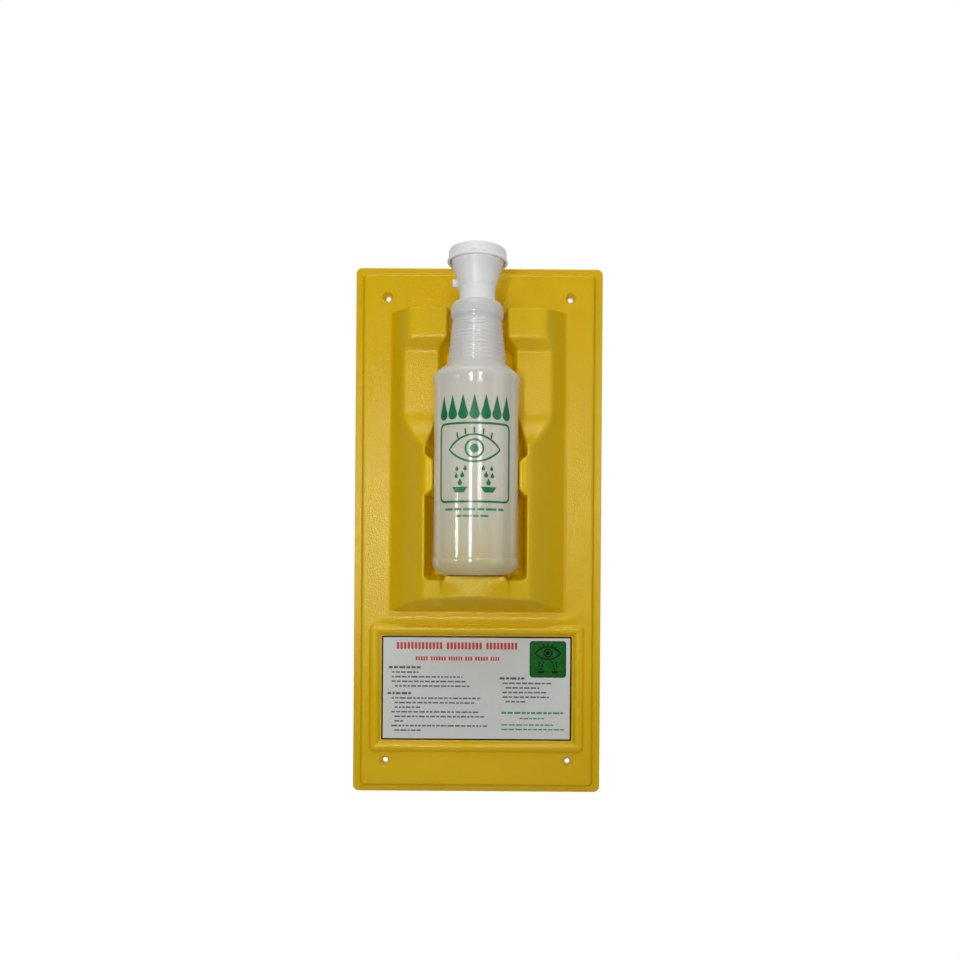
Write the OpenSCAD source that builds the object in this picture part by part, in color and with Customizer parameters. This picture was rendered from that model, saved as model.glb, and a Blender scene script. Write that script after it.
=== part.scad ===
// Wall-mounted eyewash station: thermoformed panel with a moulded cradle,
// one squeeze bottle with an eyecup closure and a dust cap.
// Frame: origin at the centre of the four wall holes, on the wall plane.
// +X right, +Z up, the front faces -Y. Millimetres.

/* [Panel] */
// Overall width of the panel
panel_w = 248.5; // [246:0.5:252]
// Overall height of the panel
panel_h = 527; // [524:0.5:532]
// Corner radius of the flange
corner_r = 6; // [2:0.5:10]
// Thickness of the plastic sheet
sheet_t = 3; // [2.4:0.1:3.4]
// Distance from the wall to the front of the raised face
face_rise = 9; // [8:0.5:10]
// Width of the flat flange at the sides of the raised face
flange_w = 7.25; // [6:0.25:9]
// Width of the flat flange above and below the raised face
flange_h = 6.2; // [5:0.1:8]

/* [Wall holes] */
// Hole spacing across
hole_dx = 183; // [181:0.5:185]
// Hole spacing up and down
hole_dz = 464; // [462:0.5:466]
// Diameter of each through hole
hole_d = 5; // [4:0.1:5.4]
// Diameter of the dimple at the face
dimple_d = 10.5; // [9.5:0.1:11.5]
// Diameter of the dimple floor
dimple_floor_d = 6.6; // [6:0.1:7]

/* [Cradle] */
// Half width of the cradle at its base
block_hw = 86.75; // [86:0.25:88]
// Bottom of the cradle
block_z0 = -81.6; // [-82:0.1:-81]
// Top of the cradle
block_z1 = 218; // [217:0.1:219]
// Height of the upper pads above the face
pad1_h = 33; // [31:0.5:35]
// Height of the finger dips above the face
pad2_h = 24; // [23:0.5:25]
// Height of the lower crown above the face
crown_h = 52.5; // [51:0.5:54]
// Half width of the bottle pocket at the ridges
pocket_hw = 48.6; // [48:0.1:50]
// Inner half gap between the two grip bumps
grip_hw = 41.2; // [41.1:0.1:42]
// Half width of the shelf that carries the bottle
shelf_hw = 29; // [27:0.5:31]

/* [Label] */
// Width of the bead that frames the label
frame_w = 214; // [212:0.5:216]
// Height of the bead that frames the label
frame_h = 127; // [125:0.5:128]
// Height of the middle of the label
label_zc = -158.6; // [-159.5:0.1:-158]
// Width of the label
label_w = 190; // [186:0.5:191]
// Height of the label
label_h = 104; // [100:0.5:105]
// Thickness of the label
label_t = 0.6; // [0.3:0.1:0.8]

/* [Bottle] */
// Height of the bottle axis above the face
axis_h = 42; // [42:0.1:43]
// Radius of the bottle body at the print
body_r = 39.7; // [39.2:0.1:40.1]
// Wall of the bottle
bottle_t = 1.2; // [0.9:0.1:1.5]
// Underside of the bottle
base_z = -44; // [-44.2:0.1:-43.6]
// Pitch of the ribs on the neck
rib_pitch = 3.53; // [3.4:0.01:3.6]
// Depth of the ribs on the neck
rib_d = 0.55; // [0.3:0.05:0.7]

/* [Closure] */
// Outside radius of the closure skirt
skirt_r = 17.05; // [16.6:0.05:17.2]
// Outside radius of the bottle neck finish
finish_r = 13.7; // [13.4:0.05:13.8]
// Outside radius of the eyecup where the dust cap begins
cup_r = 24.1; // [23.9:0.1:24.4]
// Outside radius of the dust cap
cap_r = 27.6; // [27.4:0.1:27.9]
// Outside radius of the lip round the foot of the dust cap
cap_lip_r = 28.7; // [28.5:0.1:28.9]

/* [Hidden] */
$fn = 64;
yellow = [0.84, 0.70, 0.08];
white = [0.90, 0.91, 0.92];
natural = [0.80, 0.80, 0.76];
face_y = -face_rise;
axis_y = -face_rise - axis_h;
t = sheet_t;
hx = panel_w / 2 - flange_w;         // raised face, half width at its foot
hz = panel_h / 2 - flange_h;         // raised face, half height at its foot

// ---- helpers -------------------------------------------------------------
// polygon of [x, y] points carried from z0 to z1
module along_z(pts, z0, z1) { translate([0, 0, z0]) linear_extrude(height = z1 - z0) polygon(pts); }
// polygon of [y, z] points carried from x0 to x1
module along_x(pts, x0, x1) { translate([x0, 0, 0]) rotate([90, 0, 90]) linear_extrude(height = x1 - x0) polygon(pts); }
// plate with round corners, centred on zc, from y0 (back) to y1 (front, lower y)
module plate(w, h, r, zc, y0, y1) {
    x = w / 2; z = h / 2;
    translate([0, 0, zc]) rotate([90, 0, 0]) translate([0, 0, -y0]) linear_extrude(height = y0 - y1)
        union() {
            square([2 * x - 2 * r, 2 * z], center = true);
            square([2 * x, 2 * z - 2 * r], center = true);
            for (sx = [-1, 1], sz = [-1, 1]) translate([sx * (x - r), sz * (z - r)]) circle(r = r);
        }
}
// four sided frustum: half sizes xa, za at y0 and xb, zb at y1
module frustum(xa, za, y0, xb, zb, y1) {
    intersection() {
        along_z([[-xa, y0], [xa, y0], [xb, y1], [-xb, y1]], -za, za);
        along_x([[y0, -za], [y0, za], [y1, zb], [y1, -zb]], -xa, xa);
    }
}
// solid of revolution about the bottle axis from [r, z] points
module turned(pts) { translate([0, axis_y, 0]) rotate_extrude($fn = 96) polygon(pts); }

// ---- wall panel ------------------------------------------------------------
// side profile of the cradle top, [height above face, z], moved in by o
function upper_profile(o) = [
    [0, 90], [pad2_h - o, 90], [pad2_h - o, 173.5 + o * 0.35], [pad1_h - o, 184 + o * 0.35],
    [pad1_h - o, block_z1 - 5.8 - o], [0, block_z1 - o]];
function lower_profile(o) = [
    [0, block_z0 + o * 1.05], [crown_h - o, block_z0 + 16.2 + o * 1.05], [crown_h - o, 62],
    [40.5 - o, 82 - o * 0.4], [33 - o, 92 - o * 0.4], [pad2_h - o, 108 - o * 0.4], [0, 108 - o * 0.4]];
function at_face(p) = [for (q = p) [face_y - q[0] + (q[0] == 0 ? t + 0.2 : 0), q[1]]];

// outside form of the cradle, moved in by o
module cradle_form(o) {
    // upper part, steeper sides
    intersection() {
        along_z([[-block_hw + o * 1.17, face_y + t + 0.2], [-block_hw + o * 1.17, face_y],
                 [-(block_hw - 0.598 * 40) + o * 1.17, face_y - 40],
                 [(block_hw - 0.598 * 40) - o * 1.17, face_y - 40],
                 [block_hw - o * 1.17, face_y], [block_hw - o * 1.17, face_y + t + 0.2]], 80, 230);
        along_x(at_face(upper_profile(o)), -100, 100);
    }
    // lower part, flatter sides under a crowned top
    intersection() {
        along_z([[-block_hw + o * 1.3, face_y + t + 0.2], [-block_hw + o * 1.3, face_y],
                 [-(block_hw - 0.83 * 60) + o * 1.3, face_y - 60],
                 [(block_hw - 0.83 * 60) - o * 1.3, face_y - 60],
                 [block_hw - o * 1.3, face_y], [block_hw - o * 1.3, face_y + t + 0.2]], -90, 120);
        along_x(at_face(lower_profile(o)), -100, 100);
        translate([0, face_y + 126 - crown_h, -100]) cylinder(r = 126 - o, h = 250, $fn = 128);
    }
}

// the hollow that takes the bottle, grown by e
module pocket(e) {
    yb = face_y + e;      // floor
    yf = -90;             // open front
    d = 0.088;            // draft of the side walls
    // pocket for the body
    difference() {
        intersection() {
            along_z([[-(pocket_hw - 43 * d) - e, yb], [pocket_hw - 43 * d + e, yb],
                     [pocket_hw + 38 * d + e, yf], [-(pocket_hw + 38 * d) - e, yf]], -49.3 - e, 92);
            along_x([[yb, -49.0 - e], [yf, -51 - e], [yf, 92], [yb, 92]], -80, 80);
        }
        // shelf under the bottle
        if (shelf_hw > e)
            along_z([[-(shelf_hw - 1 - e), yb + 1], [shelf_hw - 1 - e, yb + 1],
                     [shelf_hw + 3 - e, yf - 1], [-(shelf_hw + 3) + e, yf - 1]], -60, base_z - 0.35 - e);
        // grip bumps
        for (s = [-1, 1])
            intersection() {
                along_x([[yb + 1, 30 + e], [yf - 1, 30 + e], [yf - 1, 70 - e], [yb + 1, 70 - e]], s > 0 ? 30 : -60, s > 0 ? 60 : -30);
                translate([0, 0, 0]) rotate([90, 0, 0]) translate([0, 0, -yb - 1]) linear_extrude(height = 92)
                    polygon([[s * (grip_hw + e), 36.6 + e * 0.6], [s * (grip_hw + e), 63.6 - e * 0.6],
                             [s * (pocket_hw + 1), 70 - e * 0.6], [s * 60, 70 - e * 0.6],
                             [s * 60, 30 + e * 0.6], [s * (pocket_hw + 1), 30 + e * 0.6]]);
            }
    }
    // narrowing above the ridges
    rotate([90, 0, 0]) translate([0, 0, -yb]) linear_extrude(height = yb - yf)
        polygon([[-(pocket_hw - 3) - e, 84], [pocket_hw - 3 + e, 84], [pocket_hw - 3 + e, 88], [42.2 + e, 98], [38.9 + e, 112],
                 [-38.9 - e, 112], [-42.2 - e, 98], [-(pocket_hw - 3) - e, 88]]);
    // hollow between the finger dips
    along_z([[-36.8 - e, yb], [36.8 + e, yb], [40.2 + e, yf], [-40.2 - e, yf]], 105, 173.5 + e * 0.5);
    // hollow behind the neck
    along_z([[-27.8 - e, yb], [27.8 + e, yb], [31.5 + e, yf], [-31.5 - e, yf]], 170, 240);
}

module wall_hole_sites() { for (sx = [-1, 1], sz = [-1, 1]) translate([sx * hole_dx / 2, 0, sz * hole_dz / 2]) children(); }
module to_wall(h) { rotate([90, 0, 0]) children(); }

module front_form(o) {
    // raised face with drafted sides
    frustum(hx - o, hz - o, t + 1 - o, hx - 2.4 - o, hz - 2.4 - o, face_y + o);
    cradle_form(o);
}

module wall_panel() color(yellow) difference() {
    union() {
        plate(panel_w, panel_h, corner_r, 0, 0, -t);
        difference() {
            front_form(0);
            pocket(0);
        }
        // bead that frames the label
        difference() {
            union() {
                plate(frame_w, frame_h, 6, label_zc, face_y + 1, face_y - 1.6);
                plate(frame_w - 4, frame_h - 4, 5, label_zc, face_y, face_y - 3);
            }
            plate(frame_w - 19, frame_h - 19, 2.5, label_zc, face_y + 2, face_y - 4);
            plate(frame_w - 15, frame_h - 15, 4, label_zc, face_y - 1.6, face_y - 4);
        }
    }
    // everything behind the wall plane
    translate([-200, 0, -300]) cube([400, 20, 600]);
    // hollow back of the formed sheet
    difference() {
        union() {
            intersection() {
                frustum(hx - t, hz - t, 0.01, hx - t - 2.0, hz - t - 2.0, face_y + t);
                translate([-200, -t * 2 - 0.01, -300]) cube([400, 30, 600]);
            }
            cradle_form(t);
        }
        pocket(t);
        wall_hole_sites() to_wall() cylinder(r1 = dimple_floor_d / 2 + 2.6, r2 = dimple_d / 2 + 2.6, h = 9);
    }
    // label seat
    plate(frame_w - 19, frame_h - 19, 2.5, label_zc, face_y + 1, face_y - 1);
    // dimples and through holes
    wall_hole_sites() to_wall() translate([0, 0, t]) cylinder(r1 = dimple_floor_d / 2, r2 = dimple_d / 2, h = face_rise - t);
    wall_hole_sites() to_wall() translate([0, 0, -1]) cylinder(r = hole_d / 2, h = 12);
}

module instruction_label() color(white)
    plate(label_w, label_h, 1, label_zc, face_y + 1, face_y + 1 - label_t);

// ---- bottle ----------------------------------------------------------------
neck_ribs = [for (i = [0 : 10]) 155.3 + i * rib_pitch];
function neck_r(z) = 27.75 - (z - 154) * 0.0985;
// outside profile, [r, z], grown by -o
function bottle_outer(o) = concat(
    [[0, base_z + 2.4 + o], [24, base_z + 2.4 + o], [27.5, base_z + o], [30, base_z + 0.1 + o],
     [34.4 - o * 0.3, base_z + 1.4 + o * 0.9], [37.8 - o * 0.6, base_z + 4.2 + o * 0.7], [39.9 - o * 0.9, base_z + 8.2 + o * 0.4],
     [40.7 - o, base_z + 12.5], [40.7 - o, -28.9], [body_r - o, -28.2], [body_r - o, 133],
     [40.7 - o, 136.5], [40.8 - o, 140.5], [40.3 - o, 143.0 - o * 0.3], [39.4 - o * 0.9, 144.5 - o * 0.5],
     [29.0 - o * 0.7, 152.6 - o * 0.8], [27.8 - o, 154.0 - o * 0.4]],
    [for (z = neck_ribs, k = [0 : 1]) [neck_r(z) - o - (k == 0 ? rib_d : 0), z + k * rib_pitch / 2]],
    [[23.6 - o, 194.7], [23.7 - o, 196.4], [25.0 - o, 199.2], [25.15 - o, 202.6], [24.7 - o, 206.4 - o * 0.2], [22.9 - o * 0.9, 209.9 - o * 0.5],
     [20.2 - o * 0.6, 212.1 - o * 0.9], [17.2 - o * 0.4, 213.0 - o], [15.0 - o * 0.4, 213.2 - o]]);

module bottle_shell() difference() {
    turned(concat(bottle_outer(0), [[0, 213.2]]));
    turned(concat(bottle_outer(bottle_t), [[10.9, 213.2 - bottle_t], [10.9, 240], [0, 240]]));
}
// the one-piece bottle is given as five simple solids that meet at level cuts
module bottle_slice(z0, z1) intersection() {
    bottle_shell();
    translate([-60, axis_y - 60, z0]) cube([120, 120, z1 - z0]);
}
cut_floor = -37.6; // floor and heel below the straight wall
cut_wall = 141;    // top of the straight wall
cut_neck = 206.4;  // foot of the dome that closes the neck
module bottle_base() color(natural) bottle_slice(-60, cut_floor);
module bottle() color(natural) bottle_slice(cut_floor, cut_wall);
module bottle_neck() color(natural) bottle_slice(cut_wall, cut_neck);
module bottle_dome() color(natural) bottle_slice(cut_neck, 240);
module bottle_finish() color(natural)
    turned([[10.9, 213.2], [finish_r, 213.2], [finish_r, 226.3], [10.9, 226.3]]);

// ---- closure ---------------------------------------------------------------
module closure_liner() color([0.86, 0.86, 0.84])
    turned([[9.6, 226.4], [13.8, 226.4], [13.8, 227.35], [9.6, 227.35]]);

module eyecup_closure() color(white) difference() {
    union() {
        // skirt, cone and the rim that the dust cap snaps on
        turned([[14.1, 213.7], [skirt_r, 213.7], [skirt_r, 226.0], [18.15, 229.8], [22.2, 243.4], [cup_r, 250.2],
                [24.9, 252.6], [24.9, 255.4], [25.3, 255.9], [25.3, 256.5], [24.9, 257.0], [24.7, 259.4],
                [23.5, 259.4], [22.6, 252.6], [22.2, 250.0], [20.6, 243.4], [16.6, 231.4], [14.4, 229.2],
                [4.3, 229.2], [4.3, 227.4], [14.1, 227.4]]);
        // boss for the drain spout
        translate([-17.0, axis_y, 231.6]) rotate([0, -90, 0]) cylinder(r = 3.8, h = 3.4);
    }
    // hollow of the cup, cut clear of the boss
    turned([[0, 229.2], [14.4, 229.2], [16.6, 231.4], [20.6, 243.4], [22.2, 250.0], [22.6, 252.6], [23.5, 259.5], [0, 259.5]]);
    // bore for the drain spout
    translate([-15, axis_y, 231.6]) rotate([0, -90, 0]) cylinder(r = 2.6, h = 10);
    translate([0, axis_y, 222]) cylinder(r = 4.3, h = 8);
}

module drain_spout() color(white) translate([0, axis_y, 231.6]) rotate([0, -90, 0]) difference() {
    union() {
        translate([0, 0, 17.2]) cylinder(r = 2.6, h = 4);
        translate([0, 0, 20.4]) cylinder(r = 3.8, h = 3.1);
    }
    translate([0, 0, 10]) cylinder(r = 1.5, h = 20);
}

module spray_nozzle() color(white) difference() {
    turned([[0, 220.0], [4.0, 220.0], [4.3, 221.0], [4.3, 229.2], [6.4, 229.2], [6.4, 230.2], [5.2, 231.4], [0, 231.4]]);
    // spray holes
    for (i = [0 : 5]) translate([2.1 * cos(60 * i), axis_y + 2.1 * sin(60 * i), 227.8]) cylinder(r = 0.45, h = 6);
    translate([0, axis_y, 227.8]) cylinder(r = 0.45, h = 6);
    // socket for the dip tube
    translate([0, axis_y, 217]) cylinder(r = 3.2, h = 11.4);
}

module dip_tube() color([0.86, 0.87, 0.86])
    turned([[2.2, base_z + 7], [3.2, base_z + 7], [3.2, 227.6], [2.2, 227.6]]);

// ---- dust cap --------------------------------------------------------------
module dust_cap() color(white)
    turned([[26.8, 250.4], [cap_lip_r, 250.4], [cap_lip_r, 252.2], [cap_r, 253.0], [cap_r, 260.6], [27.1, 262.0], [25.8, 262.7],
            [0, 262.7], [0, 261.2], [26.0, 261.2], [26.0, 255.3], [25.5, 254.8], [25.5, 254.3], [26.0, 253.6]]);

module cap_seal() color([0.93, 0.93, 0.92])
    turned([[20.4, 259.8], [25.8, 259.8], [25.8, 261.2], [20.4, 261.2]]);

wall_panel();
instruction_label();
bottle_base();
bottle();
bottle_neck();
bottle_dome();
bottle_finish();
dip_tube();
spray_nozzle();
closure_liner();
eyecup_closure();
drain_spout();
dust_cap();
cap_seal();
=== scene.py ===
import math
import random

import bmesh
import bpy
import numpy as np
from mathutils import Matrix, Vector


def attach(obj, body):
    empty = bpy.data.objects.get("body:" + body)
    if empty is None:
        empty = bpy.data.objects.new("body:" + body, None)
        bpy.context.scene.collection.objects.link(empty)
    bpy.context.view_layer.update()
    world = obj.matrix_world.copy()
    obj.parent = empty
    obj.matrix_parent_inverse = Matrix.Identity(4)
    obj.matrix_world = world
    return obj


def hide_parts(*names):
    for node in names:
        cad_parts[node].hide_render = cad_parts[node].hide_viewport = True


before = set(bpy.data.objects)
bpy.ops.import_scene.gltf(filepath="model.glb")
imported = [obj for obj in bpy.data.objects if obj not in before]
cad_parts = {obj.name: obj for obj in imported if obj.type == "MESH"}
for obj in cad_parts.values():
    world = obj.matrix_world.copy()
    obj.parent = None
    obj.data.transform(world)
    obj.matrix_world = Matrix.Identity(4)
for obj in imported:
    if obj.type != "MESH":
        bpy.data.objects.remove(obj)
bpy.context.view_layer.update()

MM = 0.001
AX_Y = -51.0                       # bottle axis, mm in front of the wall
FACE = 9.0                         # raised face, mm in front of the wall
PI = math.pi

# --------------------------------------------------------------------------
# small helpers
# --------------------------------------------------------------------------


def lin(c):
    """sRGB 0..255 to linear."""
    out = []
    for v in c:
        v = v / 255.0
        out.append(v / 12.92 if v <= 0.04045 else ((v + 0.055) / 1.055) ** 2.4)
    return (out[0], out[1], out[2], 1.0)


def smin(a, b, k):
    h = np.maximum(k - np.abs(a - b), 0.0) / k
    return np.minimum(a, b) - h * h * k * 0.25


def smax(a, b, k):
    return -smin(-a, -b, k)


def sstep(t):
    t = np.clip(t, 0.0, 1.0)
    return t * t * (3 - 2 * t)


def rrect(x, z, hx, hz, r):
    """Distance inside a rounded rectangle, positive inside."""
    qx = np.abs(x) - (hx - r)
    qz = np.abs(z) - (hz - r)
    return r - (np.hypot(np.maximum(qx, 0), np.maximum(qz, 0)) + np.minimum(np.maximum(qx, qz), 0))


def wall_curve(H, draft, rt, rb, n=8):
    """(s, h) of a drafted wall with a concave fillet at its foot and a convex one at its top; the sharp foot is at s = 0."""
    th = math.radians(draft)
    al = PI / 2 - th
    tb, tt = rb * math.tan(al / 2), rt * math.tan(al / 2)
    pts = []
    for i in range(n + 1):
        p = al * i / n
        pts.append((-tb + rb * math.sin(p), rb - rb * math.cos(p)))
    cx, cy = H * math.tan(th) + tt, H - rt
    for i in range(n + 1):
        p = al * (1 - i / n)
        pts.append((cx - rt * math.sin(p), cy + rt * math.cos(p)))
    s = np.array([p[0] for p in pts])
    h = np.array([p[1] for p in pts])
    return s, h


def wall_at(s, curve):
    return np.interp(s, curve[0], curve[1])


def fillet_poly(pts, n=6):
    """Closed polygon [(x, z, r)] with each corner rounded to its radius."""
    out = []
    m = len(pts)
    for i in range(m):
        p0, p1, p2 = (np.array(pts[(i + k) % m][:2], float) for k in (-1, 0, 1))
        r = pts[i][2]
        a, b = p0 - p1, p2 - p1
        la, lb = np.linalg.norm(a), np.linalg.norm(b)
        a, b = a / la, b / lb
        ang = math.acos(max(-1, min(1, float(a @ b))))
        if r <= 0 or abs(ang - PI) < 1e-3:
            out.append(p1)
            continue
        d = min(r / math.tan(ang / 2), 0.48 * la, 0.48 * lb)
        rr = d * math.tan(ang / 2)
        s, e = p1 + a * d, p1 + b * d
        c = p1 + (a + b) / np.linalg.norm(a + b) * (rr / math.sin(ang / 2))
        a0 = math.atan2(*(s - c)[::-1])
        a1 = math.atan2(*(e - c)[::-1])
        da = (a1 - a0 + PI) % (2 * PI) - PI
        for k in range(n + 1):
            t = a0 + da * k / n
            out.append(c + rr * np.array([math.cos(t), math.sin(t)]))
    return np.array(out)


def poly_sd(x, z, poly):
    """Signed distance to a closed polygon, positive outside."""
    d2 = np.full(x.shape, 1e18)
    inside = np.zeros(x.shape, bool)
    n = len(poly)
    for i in range(n):
        ax, az = poly[i]
        bx, bz = poly[(i + 1) % n]
        ex, ez = bx - ax, bz - az
        l2 = ex * ex + ez * ez
        if l2 < 1e-12:
            continue
        t = np.clip(((x - ax) * ex + (z - az) * ez) / l2, 0, 1)
        dx, dz = x - ax - t * ex, z - az - t * ez
        d2 = np.minimum(d2, dx * dx + dz * dz)
        c = (az > z) != (bz > z)
        if abs(ez) > 1e-12:
            xi = ax + (z - az) * ex / ez
            inside ^= c & (x < xi)
    d = np.sqrt(d2)
    return np.where(inside, -d, d)


def make_mesh(name, verts, faces, mats, mat_idx=None, smooth=True, sharp=None):
    """Mesh object from millimetre vertices."""
    me = bpy.data.meshes.new(name)
    me.from_pydata([(v[0] * MM, v[1] * MM, v[2] * MM) for v in verts], [], faces)
    me.validate()
    ob = bpy.data.objects.new(name, me)
    bpy.context.scene.collection.objects.link(ob)
    for m in (mats if isinstance(mats, (list, tuple)) else [mats]):
        me.materials.append(m)
    if mat_idx is not None:
        me.polygons.foreach_set("material_index", mat_idx)
    if smooth:
        me.polygons.foreach_set("use_smooth", [True] * len(me.polygons))
        if sharp is not None:
            bm = bmesh.new()
            bm.from_mesh(me)
            lim = math.radians(sharp)
            for e in bm.edges:
                if len(e.link_faces) == 2 and e.calc_face_angle(0.0) > lim:
                    e.smooth = False
            bm.to_mesh(me)
            bm.free()
    me.update()
    return ob


def revolve(name, prof, mat, n=160, axis_y=AX_Y, sharp=35, closed=True, deform=None, mat_idx=None, mats=None):
    """Solid of revolution about the bottle axis from a closed (r, z) profile, mm."""
    verts, rows = [], []
    for (r, z) in prof:
        if r < 1e-6:
            rows.append([len(verts)])
            verts.append((0, axis_y, z))
        else:
            row = []
            for i in range(n):
                a = 2 * PI * i / n
                x, y = r * math.sin(a), -r * math.cos(a)
                if deform:
                    x, y, zz = deform(x, y, z, r, a)
                else:
                    zz = z
                row.append(len(verts))
                verts.append((x, axis_y + y, zz))
            rows.append(row)
    faces, idx = [], []
    m = len(rows)
    for j in range(m if closed else m - 1):
        a, b = rows[j], rows[(j + 1) % m]
        for i in range(n):
            k = (i + 1) % n
            if len(a) == 1 and len(b) == 1:
                continue
            if len(a) == 1:
                faces.append((a[0], b[k], b[i]))
            elif len(b) == 1:
                faces.append((a[i], a[k], b[0]))
            else:
                faces.append((a[i], a[k], b[k], b[i]))
            idx.append(mat_idx[j] if mat_idx else 0)
    ob = make_mesh(name, verts, faces, mats or mat, idx if mat_idx else None, True, None)
    # outward normals
    bm = bmesh.new()
    bm.from_mesh(ob.data)
    bmesh.ops.recalc_face_normals(bm, faces=bm.faces)
    if sharp is not None:
        lim = math.radians(sharp)
        for e in bm.edges:
            if len(e.link_faces) == 2 and e.calc_face_angle(0.0) > lim:
                e.smooth = False
    bm.to_mesh(ob.data)
    bm.free()
    ob.data.update()
    return ob


def arc_pts(cx, cz, r, a0, a1, n=6):
    """Arc points (r, z); angles in degrees from +r towards +z."""
    return [(cx + r * math.cos(math.radians(a0 + (a1 - a0) * i / n)),
             cz + r * math.sin(math.radians(a0 + (a1 - a0) * i / n))) for i in range(n + 1)]


def round_profile(pts, n=5):
    """Closed (r, z) profile of (r, z, fillet radius)."""
    q = fillet_poly(pts, n)
    return [(max(0.0, float(a)), float(b)) for a, b in q]


# --------------------------------------------------------------------------
# materials
# --------------------------------------------------------------------------


def base_mat(name):
    m = bpy.data.materials.new(name)
    m.use_nodes = True
    nt = m.node_tree
    for nd in list(nt.nodes):
        nt.nodes.remove(nd)
    out = nt.nodes.new("ShaderNodeOutputMaterial")
    bs = nt.nodes.new("ShaderNodeBsdfPrincipled")
    nt.links.new(bs.outputs[0], out.inputs[0])
    tc = nt.nodes.new("ShaderNodeTexCoord")
    return m, nt, bs, tc


def noise(nt, vec, scale, detail=3.0, rough=0.5, w=None):
    n = nt.nodes.new("ShaderNodeTexNoise")
    n.inputs["Scale"].default_value = scale
    n.inputs["Detail"].default_value = detail
    n.inputs["Roughness"].default_value = rough
    nt.links.new(vec, n.inputs["Vector"])
    return n


def ramp(nt, fac, stops):
    r = nt.nodes.new("ShaderNodeValToRGB")
    el = r.color_ramp.elements
    while len(el) > 1:
        el.remove(el[-1])
    el[0].position = stops[0][0]
    el[0].color = stops[0][1]
    for p, c in stops[1:]:
        e = el.new(p)
        e.color = c
    nt.links.new(fac, r.inputs[0])
    return r


def mapr(nt, val, a, b, c, d):
    m = nt.nodes.new("ShaderNodeMapRange")
    m.inputs[1].default_value, m.inputs[2].default_value = a, b
    m.inputs[3].default_value, m.inputs[4].default_value = c, d
    nt.links.new(val, m.inputs[0])
    return m


def bump(nt, height, strength, dist, prev=None):
    b = nt.nodes.new("ShaderNodeBump")
    b.inputs["Strength"].default_value = strength
    b.inputs["Distance"].default_value = dist
    nt.links.new(height, b.inputs["Height"])
    if prev is not None:
        nt.links.new(prev, b.inputs["Normal"])
    return b


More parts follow.
